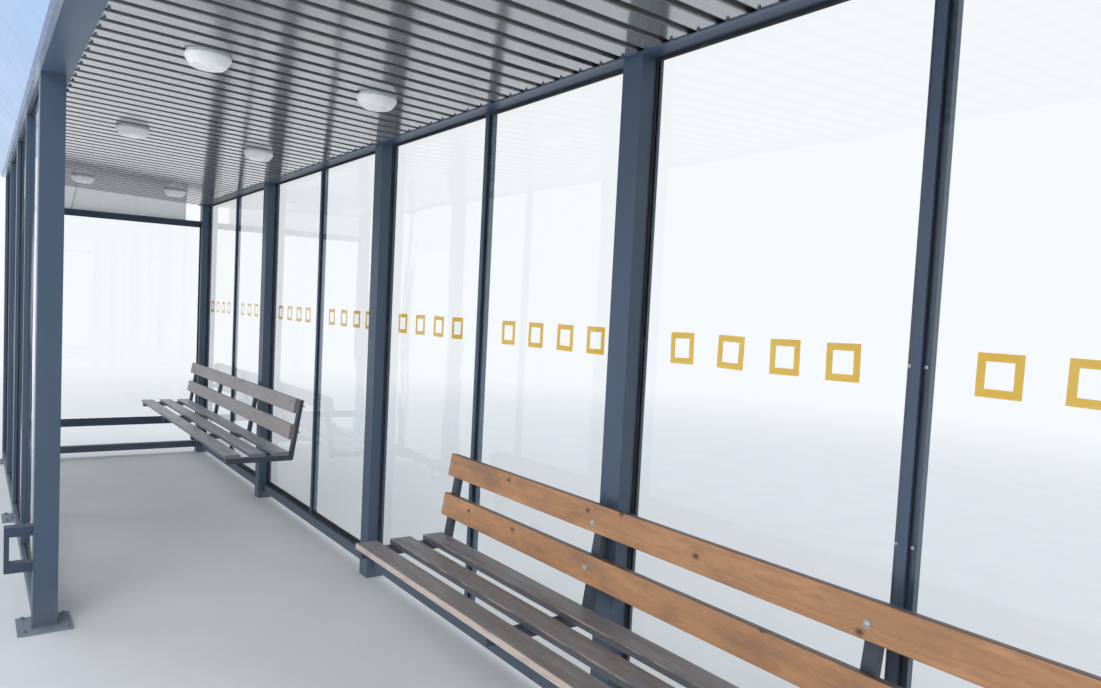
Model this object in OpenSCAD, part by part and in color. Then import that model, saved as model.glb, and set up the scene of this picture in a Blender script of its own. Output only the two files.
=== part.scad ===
// Bus shelter: painted square-tube frame, glazed back, ends and half the front,
// corrugated ceiling, leaning front fascia and two slatted benches on the back posts.
// Millimetres, +Z up, X along the length, front (open side) towards -Y.

/* [Plan] */
// Length of one bay between post centres
bay_length = 2100; // [1900:10:2300]
// Depth between the front and the back post centres
frame_depth = 1630; // [1500:10:1800]

/* [Heights] */
// Floor to the underside of the back beam
back_clear = 2450; // [2300:10:2600]
// Floor to the underside of the front beam
front_clear = 2510; // [2350:10:2700]
// Floor to the top of the bottom rail
sill_top = 110; // [100:5:160]
// Floor to the top of the upper low rail of the end walls
end_low_rail_top = 356; // [300:2:420]
// Floor to the top of the transom rail of the end walls
end_top_rail_top = 2294; // [2200:2:2340]

/* [Steel frame] */
// Side of the square posts and beams
post_w = 100; // [80:5:120]
// Width of the mullions, which are flat tubes on the outside of the glass
mullion_w = 60; // [40:5:80]
// Width of the bars on the inside of the glass at the mullions
glazing_bar_w = 25; // [20:1:36]
// Thickness of the bars on the inside of the glass
glazing_bar_t = 10; // [6:1:14]
// Side of the square bottom and low rails
rail_w = 60; // [40:5:60]
// Height of the transom rail at the ends
transom_rail_h = 50; // [40:5:60]
// Height of the rafters above the ceiling
rafter_h = 50; // [40:5:50]
// Width of the rafters
rafter_w = 60; // [40:5:80]

/* [Base plates] */
// Side of the square base plates
plate_w = 220; // [200:5:260]
// Thickness of the base plates
plate_t = 10; // [8:1:20]
// Distance between anchor hole centres
anchor_pitch = 170; // [150:5:190]
// Diameter of the anchor holes
anchor_d = 14; // [10:1:16]

/* [Glass] */
// Thickness of the glass
glass_t = 8; // [6:1:12]
// From the outer face of the posts to the middle of the glass
glass_inset = 26; // [20:1:34]
// Joint between two panes behind a glazing bar
pane_joint = 4; // [2:1:8]

/* [Ceiling and roof] */
// Pitch of the ribs
rib_pitch = 117; // [100:1:140]
// Width of the narrow groove between two flats
groove_w = 36; // [24:1:44]
// Depth of the grooves
groove_depth = 12; // [8:1:14]
// Run of the sloping flank of a groove
flank_run = 6; // [4:1:10]
// Thickness of the ceiling and roof sheets
sheet_t = 2; // [1.5:0.5:3]
// Thickness of the strips that carry the ceiling edges
ledge_t = 4; // [3:1:6]
// Width of the strips that carry the ceiling edges
ledge_w = 20; // [15:1:30]
// Overhang of the roof sheet past the back beam
roof_overhang = 60; // [20:5:80]

/* [Lamps] */
// Diameter of a lamp
lamp_d = 176; // [172:2:240]
// Height of a lamp below the ceiling
lamp_h = 50; // [40:1:80]
// Height of the lamp base disc
lamp_base_h = 8; // [6:1:14]
// Diameter of the lamp base disc
lamp_base_d = 168; // [120:2:168]
// Height of the straight rim of the lamp bowl
lamp_rim_h = 6; // [4:1:10]
// Diameter of the flat underside of the lamp bowl
lamp_flat_d = 118; // [80:2:150]
// Distance of the outer lamps from the end posts
lamp_end_offset = 830; // [600:5:1100]
// Half distance between the two middle lamp pairs
lamp_mid_offset = 885; // [500:5:1100]
// Distance between the two lamp rows
lamp_row_gap = 710; // [500:10:900]

/* [Fascia] */
// Width of the pale strip under the front beam edge
fascia_lip = 20; // [15:1:30]
// Rise of the leaning front fascia
fascia_rise = 300; // [250:5:360]
// Outward lean of the front fascia at its top
fascia_lean = 240; // [150:5:300]
// Thickness of the fascia panels
fascia_t = 4; // [3:1:6]
// Width of the flange along the top of the fascia
fascia_flange = 60; // [30:5:90]
// Thickness of the gussets behind the fascia
gusset_t = 6; // [4:1:10]
// From a post centre to the gusset beside it
gusset_shift = 120; // [80:5:200]
// Number of front fascia panels
fascia_panels = 3; // [2:1:5]
// Joint between fascia panels
fascia_joint = 6; // [4:1:10]
// Gap between the end panel and the back post
end_panel_gap = 135; // [80:5:200]
// Place of the slanted end joint behind the front post centre
end_joint_y = 500; // [400:10:700]
// Slant of the end joint over the height of the panel
end_joint_slant = 110; // [60:5:160]

/* [Benches] */
// Floor to the top of the seat
seat_h = 540; // [440:5:560]
// Width of the slats
slat_w = 100; // [80:5:110]
// Thickness of the slats
slat_t = 35; // [25:1:45]
// Gap between the seat slats
seat_gap = 60; // [30:5:70]
// Number of seat slats
seat_slats = 3; // [2:1:4]
// Lean of the backrest
back_lean = 9; // [4:1:14]
// Seat top to the lower edge of the lower back slat
back_slat_start = 80; // [50:5:120]
// Gap between the back slats
back_gap = 76; // [40:2:100]
// Width of the bench frame tube along the slats
bench_tube_w = 40; // [30:1:50]
// Depth of the bench frame tube
bench_tube_d = 25; // [20:1:30]
// From the rearmost seat slat to the uprights
seat_rear_gap = 10; // [5:1:30]
// Set-back of the frame ends behind the slat edges
frame_setback = 10; // [5:1:20]
// Height of the wall stub, which lies behind the lower back slat
stub_h = 40; // [30:1:50]
// From the mullion line to the frame at the free end of a bench
free_end_shift = 42; // [0:2:80]

/* [Bin bracket] */
// Reach of the bracket in front of the post
bracket_reach = 112; // [80:2:160]
// Floor to the underside of the bracket
bracket_z = 270; // [200:5:400]
// Height of the bracket
bracket_h = 208; // [150:2:300]
// Width of the bracket
bracket_w = 60; // [40:5:90]
// Height of the bracket arms
bracket_arm_h = 42; // [30:2:60]
// Thickness of the bracket back plate
bracket_plate_t = 20; // [10:1:30]

/* [Hidden] */
// The node names below belong to four bays, the two at the left glazed at the front
bay_count = 4;
front_glazed_bays = 2;
half_bay = bay_length / 2;
length = bay_count * bay_length;
post_half = post_w / 2;
front_line = -frame_depth / 2;
back_line = frame_depth / 2;
front_in = front_line + post_half;
front_out = front_line - post_half;
back_in = back_line - post_half;
back_out = back_line + post_half;
clear_depth = back_in - front_in;
bay_posts = [for (i = [0 : bay_count]) i];
front_post_bays = concat([for (i = [0 : front_glazed_bays]) i], [bay_count]);
ceiling_back_z = back_clear + ledge_t;
ceiling_front_z = front_clear + ledge_t;
ceiling_slope = atan((ceiling_front_z - ceiling_back_z) / clear_depth);
beam_top_back = back_clear + post_w;
beam_top_front = front_clear + post_w;
roof_slope = atan((beam_top_front - beam_top_back) / (back_out - front_in));
fascia_top = front_clear + fascia_rise;
front_extreme = front_out - fascia_lip - fascia_lean;
back_extreme = back_out + roof_overhang;
// The origin lies under the middle of the whole outline
y_shift = -(front_extreme + back_extreme) / 2;
slack = 2;

steel = [0.20, 0.22, 0.25];
glass = [0.75, 0.88, 0.90, 0.45];
pale_panel = [0.78, 0.83, 0.88];
sheet_grey = [0.62, 0.62, 0.62];
lamp_white = [0.95, 0.95, 0.92];
new_wood = [0.75, 0.50, 0.32];
old_wood = [0.50, 0.47, 0.45];
galvanised = [0.70, 0.72, 0.74];

function bay_x(i) = i * bay_length - length / 2;
function line_x(k) = k * half_bay - length / 2;
function roof_z(y) = beam_top_back + (back_out - y) * tan(roof_slope);
function ceiling_z(y) = ceiling_back_z + (back_in - y) * tan(ceiling_slope);

// Everything is drawn about the middle of the frame and then moved to the origin
module place() {
    translate([0, y_shift, 0]) children();
}

// Box from its two opposite corners
module block(low, high) {
    translate(low) cube(high - low);
}

// One side's bent section drawn in the YZ plane and run along X
module along_x(x0, x1) {
    translate([x0, 0, 0])
        rotate([90, 0, 90])
            linear_extrude(height = x1 - x0) children();
}

module post(x, y, foot, top) {
    color(steel)
        block([x - post_half, y - post_half, foot], [x + post_half, y + post_half, top]);
}

// The back posts stand on the floor, the front posts on base plates
module post_back(i) {
    post(bay_x(bay_posts[i]), back_line, 0, back_clear);
}

module post_front(i) {
    post(bay_x(front_post_bays[i]), front_line, plate_t, front_clear);
}

module base_plate(x, y) {
    hole_at = anchor_pitch / 2;
    color(steel)
        difference() {
            block([x - plate_w / 2, y - plate_w / 2, 0], [x + plate_w / 2, y + plate_w / 2, plate_t]);
            for (sx = [-1, 1], sy = [-1, 1])
                translate([x + sx * hole_at, y + sy * hole_at, -slack])
                    cylinder(h = plate_t + 2 * slack, d = anchor_d, $fn = 48);
        }
}

module base_plates() {
    for (i = front_post_bays) base_plate(bay_x(i), front_line);
}

// An upright on the bottom rail, between two planes that lie a and b inside the outer face
module upright(x, width, out, inward, a, b, top) {
    color(steel)
        block([x - width / 2, min(out + inward * a, out + inward * b), sill_top],
              [x + width / 2, max(out + inward * a, out + inward * b), top]);
}

// Mullions hold the pane edges in the middle of a bay: a tube outside and a bar inside
module mullion(x, out, inward, top) {
    glass_far = glass_inset - glass_t / 2;
    glass_near = glass_inset + glass_t / 2;
    upright(x, mullion_w, out, inward, 0, glass_far, top);
    upright(x, glazing_bar_w, out, inward, glass_near, glass_near + glazing_bar_t, top);
}

module mullions_back() {
    for (i = [0 : bay_count - 1]) mullion(bay_x(i) + half_bay, back_out, -1, back_clear);
}

module mullions_front() {
    for (i = [0 : front_glazed_bays - 1]) mullion(bay_x(i) + half_bay, front_out, 1, front_clear);
}

module beam(y, bottom) {
    color(steel)
        block([-length / 2 - post_half, y - post_half, bottom],
              [length / 2 + post_half, y + post_half, bottom + post_w]);
}

// Rafters lie under the roof sheet, with their tops in the plane of the beam tops
module rafters() {
    color(steel)
        for (i = bay_posts)
            along_x(bay_x(i) - rafter_w / 2, bay_x(i) + rafter_w / 2)
                polygon([
                    [front_in, roof_z(front_in) - rafter_h],
                    [back_in, roof_z(back_in) - rafter_h],
                    [back_in, roof_z(back_in)],
                    [front_in, roof_z(front_in)]
                ]);
}

// Bottom rails run between the posts, flush with their outer faces
module sill_back() {
    color(steel)
        for (i = [0 : bay_count - 1])
            block([bay_x(i) + post_half, back_out - rail_w, sill_top - rail_w],
                  [bay_x(i + 1) - post_half, back_out, sill_top]);
}

module sill_front() {
    color(steel)
        for (i = [0 : front_glazed_bays - 1])
            block([bay_x(i) + post_half, front_out, sill_top - rail_w],
                  [bay_x(i + 1) - post_half, front_out + rail_w, sill_top]);
}

module end_rail(side, top, height) {
    x_out = side * (length / 2 + post_half);
    x_in = x_out - side * rail_w;
    color(steel)
        block([min(x_out, x_in), front_in, top - height], [max(x_out, x_in), back_in, top]);
}

module sill_ends() {
    for (side = [-1, 1]) end_rail(side, sill_top, rail_w);
}

module end_rails(side) {
    end_rail(side, end_low_rail_top, rail_w);
    end_rail(side, end_top_rail_top, transom_rail_h);
}

// Two panes of one bay, which meet at its mullion
module bay_glass(i, out, inward, top) {
    y = out + inward * glass_inset;
    mid = bay_x(i) + half_bay;
    color(glass) {
        block([bay_x(i) + post_half, y - glass_t / 2, sill_top],
              [mid - pane_joint / 2, y + glass_t / 2, top]);
        block([mid + pane_joint / 2, y - glass_t / 2, sill_top],
              [bay_x(i + 1) - post_half, y + glass_t / 2, top]);
    }
}

module glass_back(i) {
    bay_glass(i, back_out, -1, back_clear);
}

module glass_front(i) {
    bay_glass(i, front_out, 1, front_clear);
}

module glass_end(side) {
    x = side * (length / 2 + post_half - glass_inset);
    color(glass)
        block([x - glass_t / 2, front_in, end_low_rail_top],
              [x + glass_t / 2, back_in, end_top_rail_top - transom_rail_h]);
}

// Section of a corrugated sheet: wide lower flats and narrow grooves that rise between them
function rib_line(x0, count) = [
    for (i = [0 : count - 1])
        let (c = x0 + (i + 0.5) * rib_pitch)
            each [
                [c - groove_w / 2, 0],
                [c - groove_w / 2 + flank_run, groove_depth],
                [c + groove_w / 2 - flank_run, groove_depth],
                [c + groove_w / 2, 0]
            ]
];

module corrugated_sheet(width, run) {
    count = floor(width / rib_pitch);
    ribs = rib_line(-count * rib_pitch / 2, count);
    lower = concat([[-width / 2, 0]], ribs, [[width / 2, 0]]);
    upper = [for (i = [len(lower) - 1 : -1 : 0]) lower[i] + [0, sheet_t]];
    rotate([90, 0, 0])
        linear_extrude(height = run) polygon(concat(lower, upper));
}

// The ceiling lies on the ledges, its grooves running across the shelter
module ceiling_sheet() {
    run = (clear_depth - 2 * slack) / cos(ceiling_slope);
    color(sheet_grey)
        translate([0, back_in - slack, ceiling_z(back_in - slack)])
            rotate([-ceiling_slope, 0, 0])
                corrugated_sheet(length + post_w, run);
}

// A flat strip at the lower edge of a beam, in the slope of the ceiling
module ledge(y_face, inward) {
    tip = y_face + inward * ledge_w;
    root_z = ceiling_z(y_face);
    tip_z = ceiling_z(tip);
    along_x(-length / 2 - post_half, length / 2 + post_half)
        polygon([
            [y_face, root_z - ledge_t],
            [y_face, root_z],
            [tip, tip_z],
            [tip, tip_z - ledge_t]
        ]);
}

module ceiling_ledges() {
    color(steel) {
        ledge(back_in, -1);
        ledge(front_in, 1);
    }
}

lamp_lines = [
    -length / 2 + lamp_end_offset,
    -lamp_mid_offset,
    lamp_mid_offset,
    length / 2 - lamp_end_offset
];
lamp_rows = [-lamp_row_gap / 2, lamp_row_gap / 2];

module at_lamps() {
    for (x = lamp_lines, y = lamp_rows)
        translate([x, y, ceiling_z(y)])
            rotate([-ceiling_slope, 0, 0]) children();
}

module lamp_bases() {
    color(lamp_white)
        at_lamps()
            translate([0, 0, -lamp_base_h]) cylinder(h = lamp_base_h, d = lamp_base_d, $fn = 48);
}

// Shallow bowl: widest at the ceiling, with a tapering side that rounds into a flat underside
module lamp_domes() {
    side_h = lamp_h - lamp_base_h - lamp_rim_h;
    rim_r = lamp_d / 2;
    flat_r = lamp_flat_d / 2;
    side = [
        for (a = [0 : 15 : 90])
            let (reach = (cos(a) + 1 - sin(a)) / 2)
                [flat_r + (rim_r - flat_r) * reach, -lamp_rim_h - side_h * sin(a)]
    ];
    color(lamp_white)
        at_lamps()
            translate([0, 0, -lamp_base_h])
                rotate_extrude($fn = 48)
                    polygon(concat([[0, 0], [rim_r, 0]], side, [[0, -lamp_rim_h - side_h]]));
}

// The roof sheet lies on the beams and rafters
module roof_sheet() {
    roof_back = back_out + roof_overhang;
    run = (roof_back - front_out) / cos(roof_slope);
    color(sheet_grey)
        translate([0, roof_back, roof_z(roof_back)])
            rotate([-roof_slope, 0, 0])
                corrugated_sheet(length + post_w, run);
}

fascia_foot = front_out - fascia_lip;
fascia_head = fascia_foot - fascia_lean;
fascia_run = fascia_lean / fascia_rise;
fascia_face_t = fascia_t / cos(atan(fascia_run));

// Inner side of the leaning face at a height above the floor
function fascia_inner(z) = fascia_foot + fascia_face_t - (z - front_clear) * fascia_run;

// Front fascia: a lip below, a leaning face and a flange on top
module fascia_section() {
    polygon([
        [front_out, front_clear],
        [fascia_foot, front_clear],
        [fascia_head, fascia_top],
        [fascia_head, fascia_top + fascia_t],
        [fascia_head + fascia_flange, fascia_top + fascia_t],
        [fascia_head + fascia_flange, fascia_top],
        [fascia_inner(fascia_top), fascia_top],
        [fascia_inner(front_clear + fascia_t), front_clear + fascia_t],
        [front_out, front_clear + fascia_t]
    ]);
}

module fascia_front() {
    start = -length / 2 - post_half;
    panel = (length + post_w + fascia_joint) / fascia_panels;
    color(pale_panel)
        for (i = [0 : fascia_panels - 1])
            along_x(start + i * panel, start + (i + 1) * panel - fascia_joint) fascia_section();
}

// Flat gussets on the front beam hold the leaning fascia
module fascia_brackets() {
    low = front_clear + fascia_t;
    high = beam_top_front;
    color(galvanised)
        for (i = bay_posts)
            let (x = bay_x(i) - sign(bay_x(i)) * gusset_shift)
                along_x(x - gusset_t / 2, x + gusset_t / 2)
                    polygon([
                        [front_out, low],
                        [fascia_inner(low), low],
                        [fascia_inner(high), high],
                        [front_out, high]
                    ]);
}

// End panel: closes the roof and fascia ends in two sheets with a slanted joint
module fascia_end(side) {
    low = end_top_rail_top - transom_rail_h;
    joint_low = front_line + end_joint_y - end_joint_slant / 2;
    joint_high = joint_low + end_joint_slant;
    back_edge = back_in - end_panel_gap;
    x_near = side * (length / 2 + post_half);
    x0 = min(x_near, x_near + side * fascia_t);
    color(pale_panel)
        along_x(x0, x0 + fascia_t) {
            polygon([
                [front_out, low],
                [joint_low, low],
                [joint_high, fascia_top],
                [fascia_head, fascia_top],
                [fascia_foot, front_clear],
                [front_out, front_clear]
            ]);
            polygon([
                [joint_low + fascia_joint, low],
                [back_edge, low],
                [back_edge, fascia_top],
                [joint_high + fascia_joint, fascia_top]
            ]);
        }
}

// Benches: frames at four neighbouring post and mullion lines, counted from the left end.
// The end frame stands beside its corner post, and the slats end flush with the end frames.
// Only the frames at the two posts reach the wall; the slats carry the other two.
left_frames = [
    line_x(0) + post_half + bench_tube_w / 2,
    line_x(1),
    line_x(2),
    line_x(3) - free_end_shift
];
right_frames = [for (i = [3 : -1 : 0]) -left_frames[i]];
left_stubs = [[left_frames[0], back_line], [left_frames[2], back_in]];
right_stubs = [for (s = left_stubs) [-s[0], s[1]]];
rest_z = seat_h + back_slat_start;
rest_top = rest_z + 2 * slat_w + back_gap;
seat_depth = seat_slats * slat_w + (seat_slats - 1) * seat_gap;

// Backrest line: the rear face of the back slats at a height above the floor
function rest_y(z) = back_in - bench_tube_d - (rest_top - z) * tan(back_lean);
seat_front = rest_y(seat_h) - seat_rear_gap - seat_depth;

// An arm under the seat and a leaning upright behind the back slats, bent from one flat tube
module bench_frame(x) {
    top_z = rest_top - frame_setback;
    arm_top = seat_h - slat_t;
    arm_low = arm_top - bench_tube_d;
    arm_front = seat_front + frame_setback;
    along_x(x - bench_tube_w / 2, x + bench_tube_w / 2)
        polygon([
            [arm_front, arm_low],
            [rest_y(arm_low) + bench_tube_d, arm_low],
            [rest_y(top_z) + bench_tube_d, top_z],
            [rest_y(top_z), top_z],
            [rest_y(arm_top), arm_top],
            [arm_front, arm_top]
        ]);
}

// A stub behind the lower back slat joins a frame to its post
module bench_stub(x, reach) {
    low = rest_z + (slat_w - stub_h) / 2;
    high = low + stub_h;
    along_x(x - bench_tube_w / 2, x + bench_tube_w / 2)
        polygon([
            [rest_y(low) + bench_tube_d - slack, low],
            [reach, low],
            [reach, high],
            [rest_y(high) + bench_tube_d - slack, high]
        ]);
}

module bench_frames(lines, stubs) {
    color(steel)
        union() {
            for (x = lines) bench_frame(x);
            for (s = stubs) bench_stub(s[0], s[1]);
        }
}

module bench_seat(lines) {
    color(old_wood)
        for (i = [0 : seat_slats - 1])
            let (y = seat_front + i * (slat_w + seat_gap))
                block([lines[0] - bench_tube_w / 2, y, seat_h - slat_t],
                      [lines[3] + bench_tube_w / 2, y + slat_w, seat_h]);
}

module bench_back(lines, tint) {
    color(tint)
        for (i = [0, 1])
            let (z = rest_z + i * (slat_w + back_gap))
                along_x(lines[0] - bench_tube_w / 2, lines[3] + bench_tube_w / 2)
                    translate([rest_y(z), z])
                        rotate(-back_lean)
                            translate([-slat_t, 0]) square([slat_t, slat_w]);
}

// Open bracket on the outer face of the post beside the entrance
module bin_bracket() {
    x = bay_x(front_glazed_bays);
    far = front_out - bracket_reach;
    top = bracket_z + bracket_h;
    color(steel)
        along_x(x - bracket_w / 2, x + bracket_w / 2)
            polygon([
                [front_out, bracket_z],
                [front_out, bracket_z + bracket_arm_h],
                [far + bracket_plate_t, bracket_z + bracket_arm_h],
                [far + bracket_plate_t, top - bracket_arm_h],
                [front_out, top - bracket_arm_h],
                [front_out, top],
                [far, top],
                [far, bracket_z]
            ]);
}

place() post_back(0);  // post_back_1
place() post_back(1);  // post_back_2
place() post_back(2);  // post_back_3
place() post_back(3);  // post_back_4
place() post_back(4);  // post_back_5
place() post_front(0);  // post_front_1
place() post_front(1);  // post_front_2
place() post_front(2);  // post_front_3
place() post_front(3);  // post_front_4
place() base_plates();
place() mullions_back();
place() mullions_front();
place() beam(front_line, front_clear);  // beam_front
place() beam(back_line, back_clear);  // beam_back
place() rafters();
place() sill_back();
place() sill_front();
place() sill_ends();
place() end_rails(-1);  // end_rails_left
place() end_rails(1);  // end_rails_right
place() glass_back(0);  // glass_back_1
place() glass_back(1);  // glass_back_2
place() glass_back(2);  // glass_back_3
place() glass_back(3);  // glass_back_4
place() glass_front(0);  // glass_front_1
place() glass_front(1);  // glass_front_2
place() glass_end(-1);  // glass_end_left
place() glass_end(1);  // glass_end_right
place() ceiling_sheet();
place() ceiling_ledges();
place() lamp_bases();
place() lamp_domes();
place() roof_sheet();
place() fascia_front();
place() fascia_brackets();
place() fascia_end(-1);  // fascia_end_left
place() fascia_end(1);  // fascia_end_right
place() bench_seat(left_frames);  // bench_left_seat
place() bench_back(left_frames, old_wood);  // bench_left_back
place() bench_frames(left_frames, left_stubs);  // bench_left_frames
place() bench_seat(right_frames);  // bench_right_seat
place() bench_back(right_frames, new_wood);  // bench_right_back
place() bench_frames(right_frames, right_stubs);  // bench_right_frames
place() bin_bracket();
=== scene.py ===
import math
import random

import bmesh
import bpy
from mathutils import Matrix, Vector


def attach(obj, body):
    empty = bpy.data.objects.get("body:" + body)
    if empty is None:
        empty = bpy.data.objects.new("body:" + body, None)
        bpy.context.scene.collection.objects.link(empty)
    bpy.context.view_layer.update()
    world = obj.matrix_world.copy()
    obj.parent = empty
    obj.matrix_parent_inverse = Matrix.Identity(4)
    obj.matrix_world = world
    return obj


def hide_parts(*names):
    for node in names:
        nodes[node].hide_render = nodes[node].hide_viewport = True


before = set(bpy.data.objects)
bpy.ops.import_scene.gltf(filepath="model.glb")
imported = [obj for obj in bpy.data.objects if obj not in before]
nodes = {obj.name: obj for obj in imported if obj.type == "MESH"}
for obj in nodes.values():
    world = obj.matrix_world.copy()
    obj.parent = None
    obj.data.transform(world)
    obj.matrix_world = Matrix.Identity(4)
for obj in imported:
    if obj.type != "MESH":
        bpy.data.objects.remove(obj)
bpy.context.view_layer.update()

# Sizes of the frame, in metres
HALF_BAY = 1.05
HALF_LENGTH = 4.2
POST_HALF = 0.05
BACK_LINE = 0.915
FRONT_LINE = -0.715
BACK_IN = BACK_LINE - POST_HALF
BACK_OUT = BACK_LINE + POST_HALF
FRONT_IN = FRONT_LINE + POST_HALF
FRONT_OUT = FRONT_LINE - POST_HALF
GLASS_INSET = 0.026
GLASS_HALF = 0.004
TUBE_HALF = 0.030
BAR_HALF = 0.0125
SILL_TOP = 0.110
BACK_CLEAR = 2.450
FRONT_CLEAR = 2.510
END_GLASS_LOW = 0.356
END_GLASS_HIGH = 2.244
PLATE_T = 0.010
ANCHOR_HALF = 0.085

# Ceiling and roof sheets
LEDGE_T = 0.004
LEDGE_W = 0.020
RIB = 0.117
RIB_COUNT = 72
GROOVE_HALF = 0.018
GROOVE_SHADE_START = 0.0015
GROOVE_SHADE_END = 0.005
BEND_W = 0.009
CEILING_BACK_Z = BACK_CLEAR + LEDGE_T
CEILING_FALL = (FRONT_CLEAR - BACK_CLEAR) / (BACK_IN - FRONT_IN)
CEILING_SLOPE = math.atan(CEILING_FALL)
CEILING_DOWN = Vector((0, -math.sin(CEILING_SLOPE), -math.cos(CEILING_SLOPE)))

# Benches
SEAT_TOP = 0.540
SLAT_W = 0.100
SLAT_T = 0.035
SEAT_BOARD_T = 0.025
SEAT_GAP = 0.060
SEAT_STEP = SLAT_W + SEAT_GAP
SEAT_SLATS = 3
BACK_GAP = 0.076
BACK_STEP = SLAT_W + BACK_GAP
BACK_SLATS = 2
REST_CLEAR = 0.010
CARRIER_INSET = 0.010
CARRIER_EASE = 0.002
UNDER_BOLT_R = 0.0070
UNDER_BOLT_H = 0.0040
LEAN = math.radians(9)
TUBE_W = 0.040
TUBE_D = 0.025
REST_Z = SEAT_TOP + 0.080
REST_TOP = REST_Z + BACK_STEP + SLAT_W
FREE_END_SHIFT = 0.042
UP_SLAT = Vector((0, math.sin(LEAN), math.cos(LEAN)))
OUT_SLAT = Vector((0, -math.cos(LEAN), math.sin(LEAN)))


def line_x(k):
    return k * HALF_BAY - HALF_LENGTH


def ceiling_z(y):
    return CEILING_BACK_Z + (BACK_IN - y) * CEILING_FALL


def rest_y(z):
    return BACK_IN - TUBE_D - (REST_TOP - z) * math.tan(LEAN)


SEAT_BACK = rest_y(SEAT_TOP) - REST_CLEAR
SEAT_FRONT = SEAT_BACK - (SEAT_SLATS * SLAT_W + (SEAT_SLATS - 1) * SEAT_GAP)


# Shader helpers

PAINT_DUST = (0.26, 0.28, 0.30)
RIB_DUST = (0.42, 0.40, 0.37)
PANEL_DIRT = (0.40, 0.43, 0.46)
OPAL_DUST = (0.60, 0.58, 0.52)
PANE_TINT = (0.975, 0.99, 0.988)
PANE_SHADOW = (0.95, 0.965, 0.96, 1.0)
FILM_DEEP = (0.98, 0.42, 0.012)
FILM_FADED = (0.98, 0.48, 0.030)
FILM_SPECK = (0.70, 0.30, 0.03)
KNOT_CORE = (0.085, 0.045, 0.026)
OPEN_CHECK = (0.035, 0.027, 0.022)
EVEN_SCATTER = (1.0, 1.0, 1.0)


def scaled_color(color, factor):
    return [min(1.0, factor * c) for c in color]


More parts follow.
